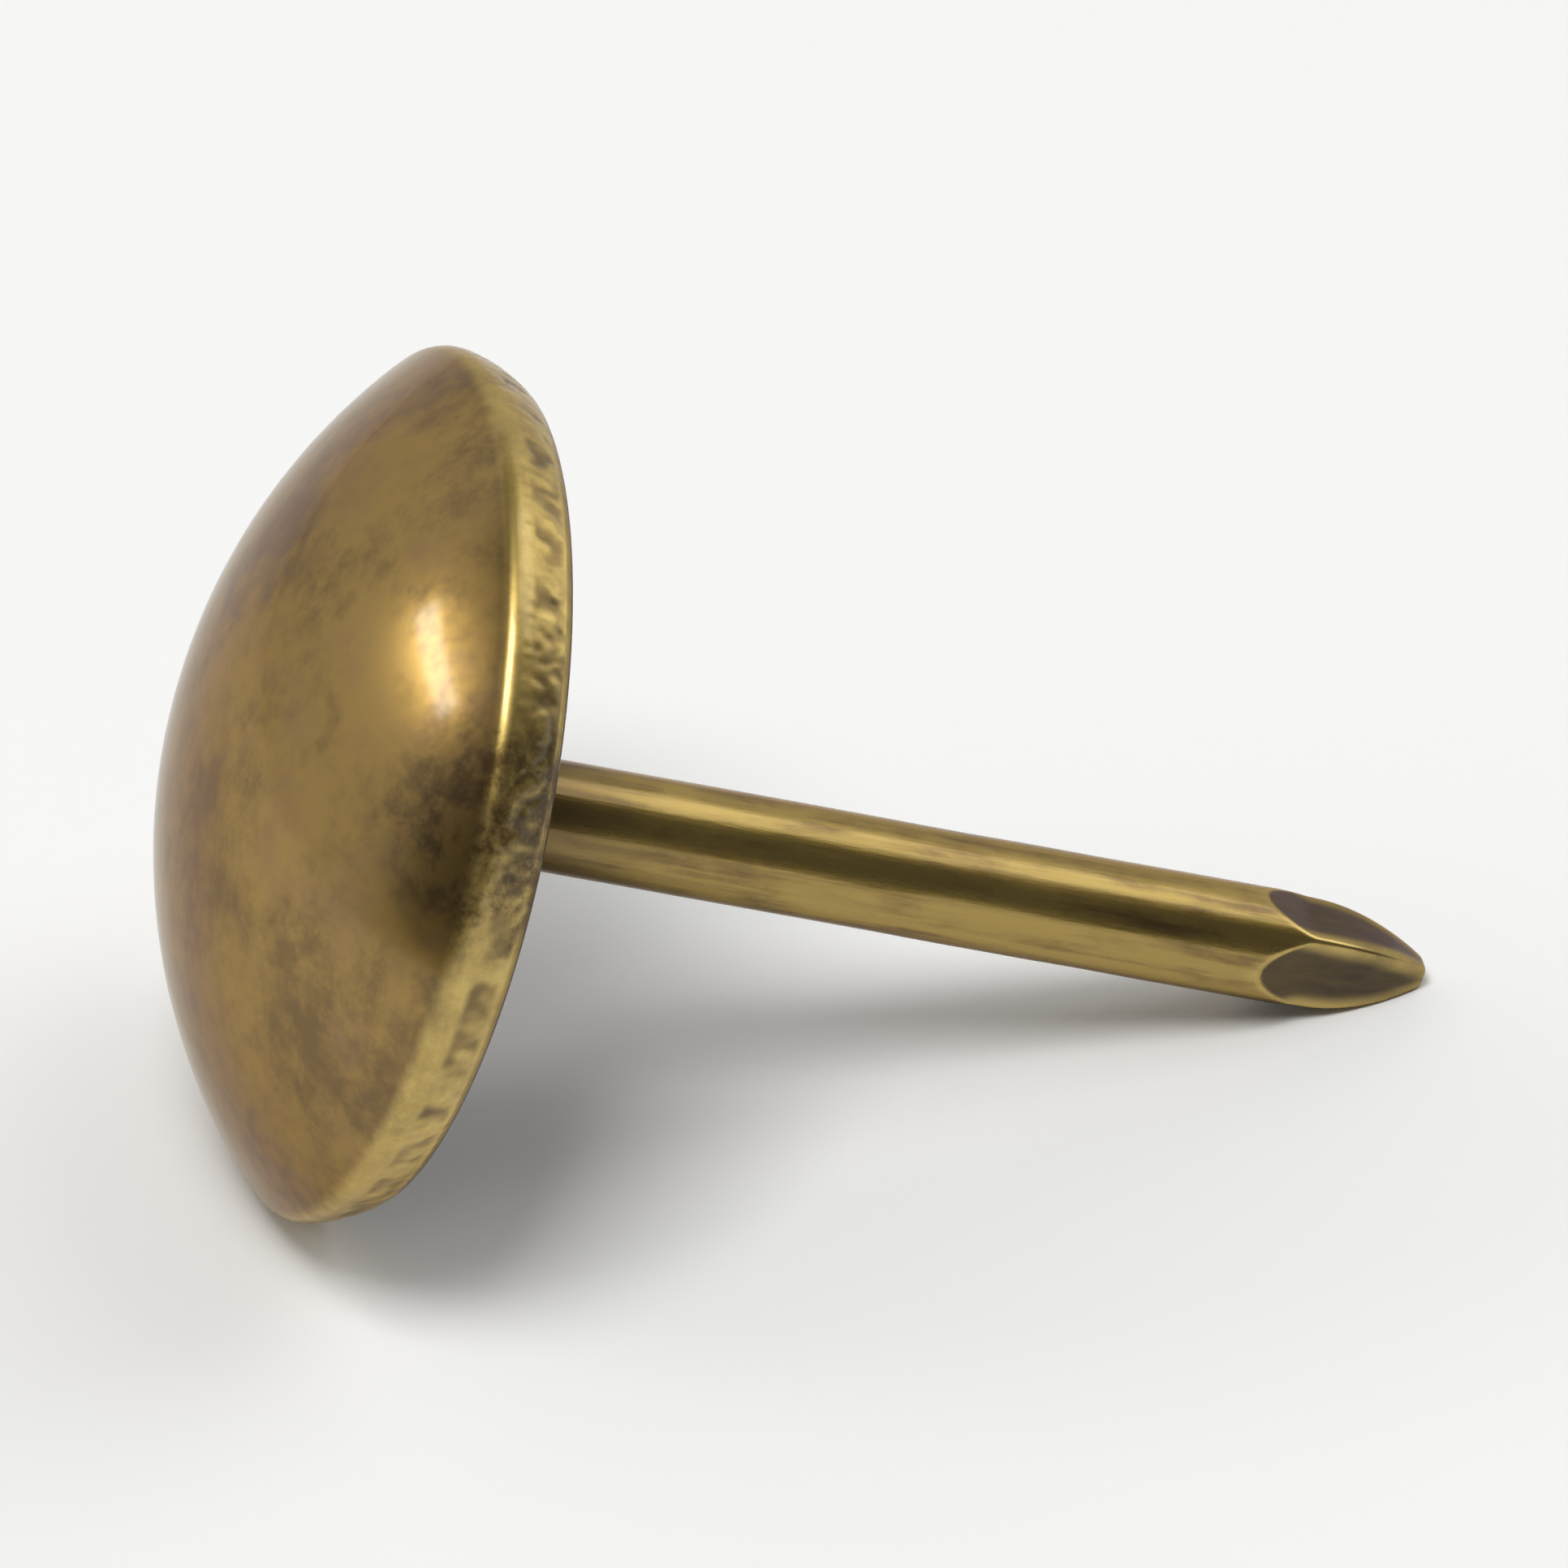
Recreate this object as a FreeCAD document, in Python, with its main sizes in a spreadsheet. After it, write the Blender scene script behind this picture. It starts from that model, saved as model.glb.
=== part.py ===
"""An upholstery tack with a low domed head, a round shank and a four-sided diamond point.

The tack is one piece of metal. It is modelled upright, dome up and point down, with its origin in the
plane of the head's widest circle, and is then laid on its side, resting on its rim and its point.
"""
import FreeCAD, Part
import math
import os
import Sketcher

# Driving dimensions in millimetres, with angles in degrees
SIZES = [
    ("head_diameter", 11.0, "across the widest circle of the head"),
    ("dome_rise", 2.45, "from the widest circle up to the crown"),
    ("corner_round", 0.12, "radius where the dome turns into the rim band"),
    ("band_height", 0.77, "from the widest circle down to the rim's under face"),
    ("band_draft", 24.0, "angle by which the rim band leans inwards"),
    ("lower_round", 0.1, "radius where the rim band turns into the under face"),
    ("rim_face_width", 0.45, "flat ring of the under face"),
    ("dish_depth", 1.75, "hollow under the head, from the under face to its crown"),
    ("root_fillet", 0.75, "radius between the hollow and the shank"),
    ("shank_diameter", 1.42, "round wire of the shank"),
    ("reach", 13.85, "from the widest circle down to the tip"),
    ("point_length", 2.5, "length of the four facets"),
    ("facet_radius", 8.5, "bulge of each facet along the shank"),
    ("tip_width", 0.26, "across the blunt square end of the point"),
    ("facets", 4, "facets round the point"),
    ("cut_margin", 0.5, "how far the facet cut reaches past the metal"),
]

doc = FreeCAD.newDocument("UpholsteryTack")
sheet = doc.addObject("Spreadsheet::Sheet", "Sizes")
for row, (alias, value, note) in enumerate(SIZES, 1):
    sheet.set(f"A{row}", note)
    sheet.set(f"B{row}", str(value))
    sheet.setAlias(f"B{row}", alias)
doc.recompute()


def size(alias):
    """The number that a cell of the sheet holds."""
    return float(getattr(sheet, alias))


def origin_feature(body, role):
    """One of a body's own origin planes or axes."""
    return next(f for f in body.Origin.OriginFeatures if f.Role == role)


def new_sketch(body, name, plane):
    """A sketch on an upright plane of the body: its x runs out from the shank's axis and its y runs up."""
    sketch = body.newObject("Sketcher::SketchObject", name)
    sketch.AttachmentSupport = [(origin_feature(body, plane), "")]
    sketch.MapMode = "FlatFace"
    return sketch


def at(x, y):
    return FreeCAD.Vector(x, y, 0)


def along(angle, length):
    """The step of a given length at an angle, in radians, from the sketch's x."""
    return at(length * math.cos(angle), length * math.sin(angle))


def arc(centre, radius, start, end):
    """An arc that turns anticlockwise between two angles in radians."""
    circle = Part.Circle(centre, FreeCAD.Vector(0, 0, 1), radius)
    return Part.ArcOfCircle(circle, start, end)


START, END, CENTRE = 1, 2, 3
ORIGIN, ACROSS, UP = (-1, 1), -1, -2


def drive(sketch, name, expression, kind, *where):
    """Add a dimension to a sketch, which is drawn at that size already, and bind it to the sheet."""
    now = sketch.evalExpression(expression)
    if kind == "Angle":
        now = now.getValueAs("rad").Value
    index = sketch.addConstraint(Sketcher.Constraint(kind, *where, float(now)))
    sketch.renameConstraint(index, name)
    sketch.setExpression(f"Constraints.{name}", expression)


def head_and_shank_section(body):
    """Half of the tack's section, from the crown round the head and down the shank to the flat end.

    It is drawn to one side, so that the seam of the turned faces lies clear of the ground.
    """
    sketch = new_sketch(body, "HeadAndShankSection", "YZ_Plane")
    corner, lower, root = size("corner_round"), size("lower_round"), size("root_fillet")
    draft = math.radians(size("band_draft"))
    shank = size("shank_diameter") / 2
    ring = size("head_diameter") / 2 - corner
    rise, band, depth, reach = size("dome_rise"), size("band_height"), size("dish_depth"), size("reach")

    dome_radius = (ring**2 + rise**2 - corner**2) / (2 * (rise - corner))
    dome_centre = at(0, rise - dome_radius)
    shoulder = math.atan2(dome_radius - rise, ring)
    corner_centre = at(ring, 0)
    lower_x = ring + (corner - lower - (band - lower) * math.sin(draft)) / math.cos(draft)
    lower_centre = at(lower_x, lower - band)
    lip = at(lower_x - size("rim_face_width"), -band)
    dish_radius = (lip.x**2 + depth**2) / (2 * depth)
    dish_centre = at(0, depth - band - dish_radius)
    root_x = shank + root
    root_turn = math.acos(root_x / (dish_radius - root))
    root_centre = dish_centre + along(root_turn, dish_radius - root)
    shank_top, shank_end = at(shank, root_centre.y), at(shank, -reach)

    dome = sketch.addGeometry(arc(dome_centre, dome_radius, shoulder, math.pi / 2))
    corner_arc = sketch.addGeometry(arc(corner_centre, corner, -draft, shoulder))
    band_line = sketch.addGeometry(
        Part.LineSegment(corner_centre + along(-draft, corner), lower_centre + along(-draft, lower))
    )
    lower_arc = sketch.addGeometry(arc(lower_centre, lower, -math.pi / 2, -draft))
    rim_face = sketch.addGeometry(Part.LineSegment(at(lower_x, -band), lip))
    lip_turn = math.atan2(lip.y - dish_centre.y, lip.x)
    dish = sketch.addGeometry(arc(dish_centre, dish_radius, lip_turn, root_turn))
    root_arc = sketch.addGeometry(arc(root_centre, root, root_turn, math.pi))
    shank_line = sketch.addGeometry(Part.LineSegment(shank_top, shank_end))
    end_face = sketch.addGeometry(Part.LineSegment(shank_end, at(0, -reach)))
    axis = sketch.addGeometry(Part.LineSegment(at(0, -reach), at(0, rise)))
    dish_crown = sketch.addGeometry(Part.Point(at(0, depth - band)), True)

    for constraint in (
        ("Tangent", dome, START, corner_arc, END),
        ("Tangent", corner_arc, START, band_line, START),
        ("Tangent", band_line, END, lower_arc, END),
        ("Tangent", lower_arc, START, rim_face, START),
        ("Coincident", rim_face, END, dish, START),
        ("Tangent", dish, END, root_arc, START),
        ("Tangent", root_arc, END, shank_line, START),
        ("Coincident", shank_line, END, end_face, START),
        ("Coincident", end_face, END, axis, START),
        ("Coincident", axis, END, dome, END),
        ("Horizontal", rim_face),
        ("Vertical", shank_line),
        ("Horizontal", end_face),
        ("PointOnObject", axis, START, UP),
        ("PointOnObject", axis, END, UP),
        ("PointOnObject", dome, CENTRE, UP),
        ("PointOnObject", corner_arc, CENTRE, ACROSS),
        ("PointOnObject", dish, CENTRE, UP),
        ("PointOnObject", dish_crown, START, UP),
        ("PointOnObject", dish_crown, START, dish),
    ):
        sketch.addConstraint(Sketcher.Constraint(*constraint))

    drive(sketch, "corner_round", "Sizes.corner_round", "Radius", corner_arc)
    drive(sketch, "lower_round", "Sizes.lower_round", "Radius", lower_arc)
    drive(sketch, "root_fillet", "Sizes.root_fillet", "Radius", root_arc)
    ring_radius = "Sizes.head_diameter / 2 - Sizes.corner_round"
    drive(sketch, "ring_radius", ring_radius, "DistanceX", *ORIGIN, corner_arc, CENTRE)
    drive(sketch, "dome_rise", "Sizes.dome_rise", "DistanceY", *ORIGIN, dome, END)
    drive(sketch, "band_height", "Sizes.band_height", "DistanceY", rim_face, END, *ORIGIN)
    drive(sketch, "band_draft", "Sizes.band_draft * 1 deg", "Angle", band_line, END, UP, START)
    drive(sketch, "rim_face_width", "Sizes.rim_face_width", "DistanceX", rim_face, END, rim_face, START)
    drive(sketch, "dish_depth", "Sizes.dish_depth", "DistanceY", rim_face, END, dish_crown, START)
    drive(sketch, "shank_radius", "Sizes.shank_diameter / 2", "DistanceX", *ORIGIN, shank_line, START)
    drive(sketch, "reach", "Sizes.reach", "DistanceY", shank_line, END, *ORIGIN)
    return sketch


def facet_section(body):
    """The metal that one facet takes away, drawn in the plane through the middle of that facet."""
    sketch = new_sketch(body, "FacetSection", "XZ_Plane")
    margin, length, reach = size("cut_margin"), size("point_length"), size("reach")
    shank, tip, bulge = size("shank_diameter") / 2, size("tip_width") / 2, size("facet_radius")
    top, bottom = at(shank, length - reach), at(tip, -reach)
    chord = top - bottom
    inward = at(-chord.y, chord.x).normalize()
    centre = bottom + chord / 2 + inward * math.sqrt(bulge**2 - (chord.Length / 2) ** 2)
    start = math.atan2(bottom.y - centre.y, bottom.x - centre.x)
    end = math.atan2(top.y - centre.y, top.x - centre.x)
    corners = [bottom, at(tip, -reach - margin), at(shank + margin, -reach - margin)]
    corners += [at(shank + margin, length - reach), top]

    facet = sketch.addGeometry(arc(centre, bulge, start, end))
    under, floor, outer, shelf = [
        sketch.addGeometry(Part.LineSegment(a, b)) for a, b in zip(corners, corners[1:])
    ]
    for constraint in (
        ("Coincident", facet, START, under, START),
        ("Coincident", under, END, floor, START),
        ("Coincident", floor, END, outer, START),
        ("Coincident", outer, END, shelf, START),
        ("Coincident", shelf, END, facet, END),
        ("Vertical", under),
        ("Horizontal", floor),
        ("Vertical", outer),
        ("Horizontal", shelf),
    ):
        sketch.addConstraint(Sketcher.Constraint(*constraint))
    drive(sketch, "facet_radius", "Sizes.facet_radius", "Radius", facet)
    drive(sketch, "tip_half_width", "Sizes.tip_width / 2", "DistanceX", *ORIGIN, facet, START)
    drive(sketch, "reach", "Sizes.reach", "DistanceY", facet, START, *ORIGIN)
    drive(sketch, "shank_radius", "Sizes.shank_diameter / 2", "DistanceX", *ORIGIN, facet, END)
    drive(sketch, "point_length", "Sizes.point_length", "DistanceY", facet, START, facet, END)
    drive(sketch, "below_tip", "Sizes.cut_margin", "DistanceY", under, END, under, START)
    drive(sketch, "past_shank", "Sizes.cut_margin", "DistanceX", facet, END, outer, END)
    return sketch


def build_tack():
    """The turned head and shank, then the diamond point cut by one facet patterned round the shank."""
    body = doc.addObject("PartDesign::Body", "Tack")
    body.Label = "tack"

    section = head_and_shank_section(body)
    doc.recompute()
    turned = body.newObject("PartDesign::Revolution", "HeadAndShank")
    turned.Profile = section
    turned.ReferenceAxis = (section, ["V_Axis"])
    turned.Angle = 360.0
    doc.recompute()

    cut = facet_section(body)
    doc.recompute()
    facet = body.newObject("PartDesign::Pocket", "Facet")
    facet.Profile = cut
    facet.Type = "ThroughAll"
    facet.SideType = "Symmetric"
    doc.recompute()

    point = body.newObject("PartDesign::PolarPattern", "DiamondPoint")
    point.Originals = [facet]
    point.Axis = (origin_feature(body, "Z_Axis"), [""])
    point.Angle = 360.0
    point.setExpression("Occurrences", "Sizes.facets")
    body.Tip = point
    doc.recompute()
    if not point.Shape.Volume < facet.Shape.Volume < turned.Shape.Volume:
        raise ValueError("a facet takes no metal away")
    return body


def lay_down(body):
    """Lay the tack on its side, with its rim and its point on the ground.

    The head may touch the ground with its corner or with the lower edge of its band. For each of them,
    the angle at which it and the tip are level is worked out, and the steeper of the two is where the
    tack comes to rest. The crown and the tip are then centred over the origin.
    """
    tip = "Sizes.tip_width / 2"
    ring = "(Sizes.head_diameter / 2 - Sizes.corner_round)"
    draft = "(Sizes.band_draft * 1 deg)"
    drop = "(Sizes.band_height - Sizes.lower_round)"
    low_ring = f"({ring} + (Sizes.corner_round - Sizes.lower_round - {drop} * sin({draft})) / cos({draft}))"

    def level(radius, height, rounding):
        out, down = f"({radius} - {tip})", f"(Sizes.reach - {height})"
        return f"(atan({out} / {down}) + asin({rounding} / hypot({out}; {down})))"

    on_corner = level(ring, "0", "Sizes.corner_round")
    on_lower_edge = level(low_ring, drop, "Sizes.lower_round")
    lean = f"max({on_corner}; {on_lower_edge})"
    dome_radius = f"(({ring}^2 + Sizes.dome_rise^2 - Sizes.corner_round^2)"
    dome_radius += " / (2 * (Sizes.dome_rise - Sizes.corner_round)))"
    tip_x = f"(Sizes.reach * cos({lean}) + {tip} * sin({lean}))"
    crown_x = f"(({dome_radius} - Sizes.dome_rise) * cos({lean}) - {dome_radius})"

    body.Placement = FreeCAD.Placement(FreeCAD.Vector(), FreeCAD.Rotation(FreeCAD.Vector(0, 1, 0), -45))
    body.setExpression("Placement.Rotation.Angle", f"{lean} - 90 deg")
    body.setExpression("Placement.Base.x", f"-({tip_x} + {crown_x}) / 2 * 1 mm")
    body.setExpression("Placement.Base.z", f"(Sizes.reach * sin({lean}) + {tip} * cos({lean})) * 1 mm")


tack = build_tack()
lay_down(tack)
doc.recompute()

for thing in doc.Objects:
    if {"Invalid", "Error"} & set(thing.State):
        raise ValueError(f"{thing.Label} did not recompute")
if tack.Shape.isNull() or not tack.Shape.isValid() or len(tack.Shape.Solids) != 1:
    raise ValueError("the tack is not one sound solid")

os.makedirs("parts", exist_ok=True)
tack.Shape.exportStep(f"parts/{tack.Label}.step")
box = tack.Shape.optimalBoundingBox(False)
print(f"{tack.Label}: {box.XLength:.2f} x {box.YLength:.2f} x {box.ZLength:.2f} mm, lowest {box.ZMin:.4f}")
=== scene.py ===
"""The looks of an upholstery tack with a domed head, finished in antique brass.

The tack's half section is drawn as a line of points. Geometry Nodes turn it about its axis, cut the four
facets of the point, press the small marks of manufacture into it and lay it on its rim and its point.
Three finishes dress it, and a pale floor, soft lights and a camera make the studio.
"""
import math

import bpy
from bpy.props import FloatProperty, FloatVectorProperty, IntProperty, PointerProperty
from mathutils import Matrix, Vector


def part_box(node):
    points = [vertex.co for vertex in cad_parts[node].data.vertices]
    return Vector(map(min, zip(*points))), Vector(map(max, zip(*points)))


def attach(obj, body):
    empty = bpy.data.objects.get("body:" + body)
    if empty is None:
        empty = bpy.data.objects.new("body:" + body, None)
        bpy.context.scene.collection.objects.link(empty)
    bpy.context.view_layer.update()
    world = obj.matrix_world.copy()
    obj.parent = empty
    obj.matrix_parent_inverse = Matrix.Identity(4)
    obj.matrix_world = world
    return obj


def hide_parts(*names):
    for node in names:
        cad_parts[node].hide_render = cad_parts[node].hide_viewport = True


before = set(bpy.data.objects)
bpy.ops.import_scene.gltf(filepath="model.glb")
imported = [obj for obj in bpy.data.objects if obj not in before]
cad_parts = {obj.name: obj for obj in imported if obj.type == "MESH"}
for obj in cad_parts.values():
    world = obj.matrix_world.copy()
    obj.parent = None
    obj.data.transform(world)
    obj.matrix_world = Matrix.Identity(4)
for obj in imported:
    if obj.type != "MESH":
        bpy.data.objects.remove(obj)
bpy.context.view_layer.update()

bl_info = {
    "name": "Upholstery Tack",
    "version": (1, 0, 0),
    "blender": (4, 5, 0),
    "location": "View3D > Sidebar > Tack",
    "description": "Builds a domed upholstery tack in antique brass, and a small studio round it",
    "category": "Add Mesh",
}

MM = 0.001
NODE = "tack"
# The parts that the mesh's points know, in their order from the crown to the tip.
DOME, BAND, UNDER, WIRE = 0.0, 1.0, 2.0, 3.0
# How many steps each stretch of the section is cut into.
STEPS = {
    "dome": 46, "corner": 8, "band": 24, "lower round": 6, "rim face": 5, "lip": 4, "dish": 26,
    "root": 12, "shank": 44, "point": 64, "tip round": 6, "tip": 4,
}
# At most this many segments share one column of points near the axis, and this many on the wire.
MOST_MERGED, WIRE_MERGED = 32, 4
# Points closer than this become one.
WELD = MM / 5000
# The stretch of rim on the camera's side that is darkened with umber: patina, and a painted dark
# reflection of the dim room. In millimetres on the upright tack: its middle, and how far from there it
# ends and is whole.
PATINA_AND_REFLECTION_MIDDLE = (2.5, -4.7, -0.1)
PATINA_AND_REFLECTION_ENDS, PATINA_AND_REFLECTION_WHOLE = 1.9, 0.9
# The roll that the rim band feels in its shading, in millimetres: how far down it runs and its depth.
ROLL_DOWN, ROLL_DEPTH = 0.65, 0.15


def linear(code):
    """The linear colour of an sRGB hex value."""
    parts = [int(code[i : i + 2], 16) / 255 for i in (1, 3, 5)]
    return [part / 12.92 if part <= 0.04045 else ((part + 0.055) / 1.055) ** 2.4 for part in parts]


def length(name, millimetres, description):
    """A length that a user can change, kept in metres."""
    return FloatProperty(
        name=name, description=description, default=millimetres * MM, precision=6,
        subtype="DISTANCE", unit="LENGTH",
    )


def angle(name, degrees, description):
    """An angle that a user can change, kept in radians."""
    return FloatProperty(
        name=name, description=description, default=math.radians(degrees), subtype="ANGLE"
    )


def count(name, number, least, description):
    """A whole number that a user can change."""
    return IntProperty(name=name, description=description, default=number, min=least)


def radiance(name, level, description):
    """A light's level that a user can change."""
    return FloatProperty(name=name, description=description, default=level, min=0)


def paint(name, code, description):
    """A colour that a user can change, kept linear."""
    return FloatVectorProperty(
        name=name, description=description, default=linear(code), min=0, max=1, size=3, subtype="COLOR"
    )


class TackSizes(bpy.types.PropertyGroup):
    """Sizes of the tack, as its maker would give them"""

    head_diameter: length("Head Diameter", 11.0, "Across the widest circle of the head")
    dome_rise: length("Dome Rise", 2.45, "From the widest circle up to the crown")
    corner_round: length("Corner Round", 0.28, "Radius where the dome turns into the rim band")
    band_height: length("Band Height", 0.77, "From the widest circle down to the rim's under face")
    band_draft: angle("Band Draft", 24.0, "Angle by which the rim band leans inwards")
    band_bulge: length("Band Bulge", 1.5, "Radius of the rim band's slight bulge")
    lower_round: length("Lower Round", 0.1, "Radius where the rim band turns into the under face")
    rim_face_width: length("Rim Face Width", 0.45, "Flat ring of the under face")
    lip_round: length("Lip Round", 0.05, "Radius where the ring turns into the hollow")
    dish_depth: length("Dish Depth", 1.75, "Hollow under the head, from the under face to its crown")
    root_fillet: length("Root Fillet", 0.75, "Radius between the hollow and the shank")
    shank_diameter: length("Shank Diameter", 1.42, "Round wire of the shank")
    reach: length("Reach", 13.85, "From the widest circle down to the tip")
    point_length: length("Point Length", 2.32, "Length of the four facets")
    facets: count("Facets", 4, 3, "How many facets meet at the point")
    entry_length: length("Entry Length", 0.65, "Steep start of each facet, where the die pinched")
    neck_width: length("Neck Width", 1.04, "Across two opposite facets at the end of their steep start")
    facet_radius: length("Facet Radius", 3.6, "Bulge of each facet along the shank")
    tip_width: length("Tip Width", 0.28, "Across the blunt square end of the point")
    tip_round: length("Tip Round", 0.08, "Height over which the blunt end is rounded off")
    ridge_round: length("Ridge Round", 0.2, "Softness of the ridges between the facets")
    ridge_wear: length("Ridge Wear", 0.26, "How far from the ridges the point is rubbed bright")
    nick_depth: length("Nick Depth", 0.02, "Depth of the small nicks round the rim band")
    nick_pitch: length("Nick Pitch", 0.3, "Usual distance from one nick to the next")
    dent_depth: length("Dent Depth", 0.012, "How far the dome departs from a true curve")
    wire_wave: length("Wire Wave", 0.022, "How far the wire departs from a true cylinder")
    segments: count("Segments", 704, 96, "Segments round the rim, in steps of 32")
    seed: count("Seed", 7, 0, "Which set of random marks is used")


class TackFinish(bpy.types.PropertyGroup):
    """Colours of the antique brass"""

    relieved: paint("Relieved Brass", "#C4AA62", "Edges that tumbling has rubbed bright")
    golden: paint("Golden Brass", "#9B7D40", "Lighter clouds of the patina")
    brown: paint("Brown Patina", "#705830", "Darker clouds of the patina")
    plum: paint("Plum Tint", "#7C5E48", "Faint purple cast of the blackening bath")
    # Besides patina, umber gives painted shade at the shank's root and a painted dark reflection on the
    # rim.
    umber: paint("Umber Patina", "#574224", "Shallow recesses and the shank's root")
    black: paint("Blackening", "#2A2017", "Recesses that tumbling never reached")
    wire: paint("Wire Brass", "#A98F4B", "Yellower brass of the drawn wire")


class StudioSettings(bpy.types.PropertyGroup):
    """Camera and lights"""

    azimuth: angle("Azimuth", -6.6, "Camera's turn about the tack")
    elevation: angle("Elevation", 35.0, "Camera's height above the horizon")
    roll: angle("Roll", -4.0, "Camera turned about its own view")
    distance: length("Distance", 470.0, "From the camera to the tack")
    frame_width: length("Frame Width", 19.4, "What the frame takes in at the tack")
    drop: length("Drop", 0.68, "How far below the tack's middle the camera aims")
    paper: paint("Paper", "#F7F7F6", "Pale sheet that the tack lies on")
    key_level: radiance("Key Level", 10.0, "Radiance of the softbox overhead")
    fill_level: radiance("Fill Level", 1.4, "Radiance of the softbox on the right")
    strip_level: radiance("Strip Level", 9.0, "Radiance of the strip light on the left")
    wall_level: radiance("Wall Level", 0.74, "Radiance of the pale walls")
    room_level: radiance("Room Level", 0.12, "Radiance of the dim room")


def add(tree, kind, inputs=None, **settings):
    """Add a node with its settings, and link or fill its inputs by label or place: its first output."""
    made = tree.nodes.new(kind)
    for name, value in settings.items():
        setattr(made, name, value)
    shown = [socket for socket in made.inputs if socket.enabled]
    for key, value in (inputs or {}).items():
        socket = shown[key] if isinstance(key, int) else next(s for s in shown if s.name == key)
        if isinstance(value, bpy.types.NodeSocket):
            tree.links.new(value, socket)
        else:
            socket.default_value = value
    return next((socket for socket in made.outputs if socket.enabled), None)


def stretch(start, end, steps, part):
    """Points along a straight stretch of the section, without its last one."""
    return [(start.lerp(end, i / steps), part) for i in range(steps)]


def bend(centre, radius, start, end, steps, part):
    """Points along an arc of the section between two angles, without its last one."""
    turns = [start + (end - start) * i / steps for i in range(steps)]
    return [(centre + Vector((math.cos(t), math.sin(t))) * radius, part) for t in turns]


def turn_of(arrow):
    """The angle of a direction in the section's plane."""
    return math.atan2(arrow.y, arrow.x)


def lower_ring(sizes):
    """How far from the axis the centre of the rim's lower round is."""
    ring = sizes.head_diameter / 2 - sizes.corner_round
    round_change = sizes.corner_round - sizes.lower_round
    drop = (sizes.band_height - sizes.lower_round) * math.sin(sizes.band_draft)
    return ring + (round_change - drop) / math.cos(sizes.band_draft)


def dome_radius(sizes):
    """Radius of the sphere that the dome is part of."""
    ring = sizes.head_diameter / 2 - sizes.corner_round
    rise, corner = sizes.dome_rise, sizes.corner_round
    return (ring**2 + rise**2 - corner**2) / (2 * (rise - corner))


def head_points(sizes):
    """The head's half section from the crown down to the root fillet's foot, and that foot's height."""
    rise, band, depth = sizes.dome_rise, sizes.band_height, sizes.dish_depth
    corner, lower, lip = sizes.corner_round, sizes.lower_round, sizes.lip_round
    shank, root, bulge = sizes.shank_diameter / 2, sizes.root_fillet, sizes.band_bulge
    down = -math.pi / 2

    ring, sphere = sizes.head_diameter / 2 - corner, dome_radius(sizes)
    dome_centre = Vector((0, rise - sphere))
    corner_centre = Vector((ring, 0))
    shoulder = math.atan2(sphere - rise, ring)
    lower_x = lower_ring(sizes)
    lower_centre = Vector((lower_x, lower - band))
    down_band = lower_centre - corner_centre
    outward = Vector((-down_band.y, down_band.x)).normalized()
    gap = down_band.length
    level = ((bulge - corner) ** 2 - (bulge - lower) ** 2 + gap**2) / (2 * gap)
    inward = math.sqrt((bulge - corner) ** 2 - level**2)
    band_centre = corner_centre + down_band.normalized() * level - outward * inward
    band_start = turn_of(corner_centre - band_centre)
    band_end = turn_of(lower_centre - band_centre)

    edge_x = lower_x - sizes.rim_face_width
    dish_radius = (edge_x**2 + depth**2) / (2 * depth)
    dish_centre = Vector((0, depth - band - dish_radius))
    lip_up = lip - band
    lip_x = math.sqrt((dish_radius + lip) ** 2 - (lip_up - dish_centre.y) ** 2)
    lip_centre = Vector((lip_x, lip_up))
    lip_turn = turn_of(lip_centre - dish_centre)
    root_turn = math.acos((shank + root) / (dish_radius - root))
    to_root = Vector((math.cos(root_turn), math.sin(root_turn)))
    root_centre = dish_centre + to_root * (dish_radius - root)

    points = bend(dome_centre, sphere, math.pi / 2, shoulder, STEPS["dome"], DOME)
    points += bend(corner_centre, corner, shoulder, band_start, STEPS["corner"], DOME)
    points += bend(band_centre, bulge, band_start, band_end, STEPS["band"], BAND)
    points += bend(lower_centre, lower, band_end, down, STEPS["lower round"], UNDER)
    points += stretch(Vector((lower_x, -band)), Vector((lip_centre.x, -band)), STEPS["rim face"], UNDER)
    points += bend(lip_centre, lip, down, lip_turn - math.pi, STEPS["lip"], UNDER)
    points += bend(dish_centre, dish_radius, lip_turn, root_turn, STEPS["dish"], UNDER)
    points += bend(root_centre, root, root_turn, math.pi, STEPS["root"], UNDER)
    return points, root_centre.y


def shank_points(sizes, root_up):
    """The shank's half section from the foot of the root fillet to the middle of the blunt tip."""
    shank, reach = sizes.shank_diameter / 2, sizes.reach
    foot = Vector((shank, root_up))
    top = Vector((shank, sizes.point_length - reach))
    end = Vector((shank, sizes.tip_round - reach))
    points = stretch(foot, top, STEPS["shank"], WIRE)
    points += stretch(top, end, STEPS["point"], WIRE)
    # The share of the blunt end's half width that its round takes.
    rounded = 0.5
    for i in range(STEPS["tip round"]):
        turn = math.pi / 2 * i / STEPS["tip round"]
        across = shank * (1 - rounded + rounded * math.cos(turn))
        points.append((Vector((across, sizes.tip_round * (1 - math.sin(turn)) - reach)), WIRE))
    middle = Vector((0, -reach))
    points += stretch(Vector((shank * (1 - rounded), -reach)), middle, STEPS["tip"], WIRE)
    points.append((middle, WIRE))
    return points


def segments_merged(point, part, sizes):
    """How many segments share one column here: more near the axis, where they are short."""
    rim, nearest = sizes.head_diameter / 2, MM / 100
    doublings = math.floor(math.log2(rim / max(point.x, nearest)))
    merged = min(MOST_MERGED, 2 ** max(0, doublings))
    if part == WIRE and point.x > sizes.tip_width:
        merged = min(WIRE_MERGED, merged)
    return merged


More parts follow.
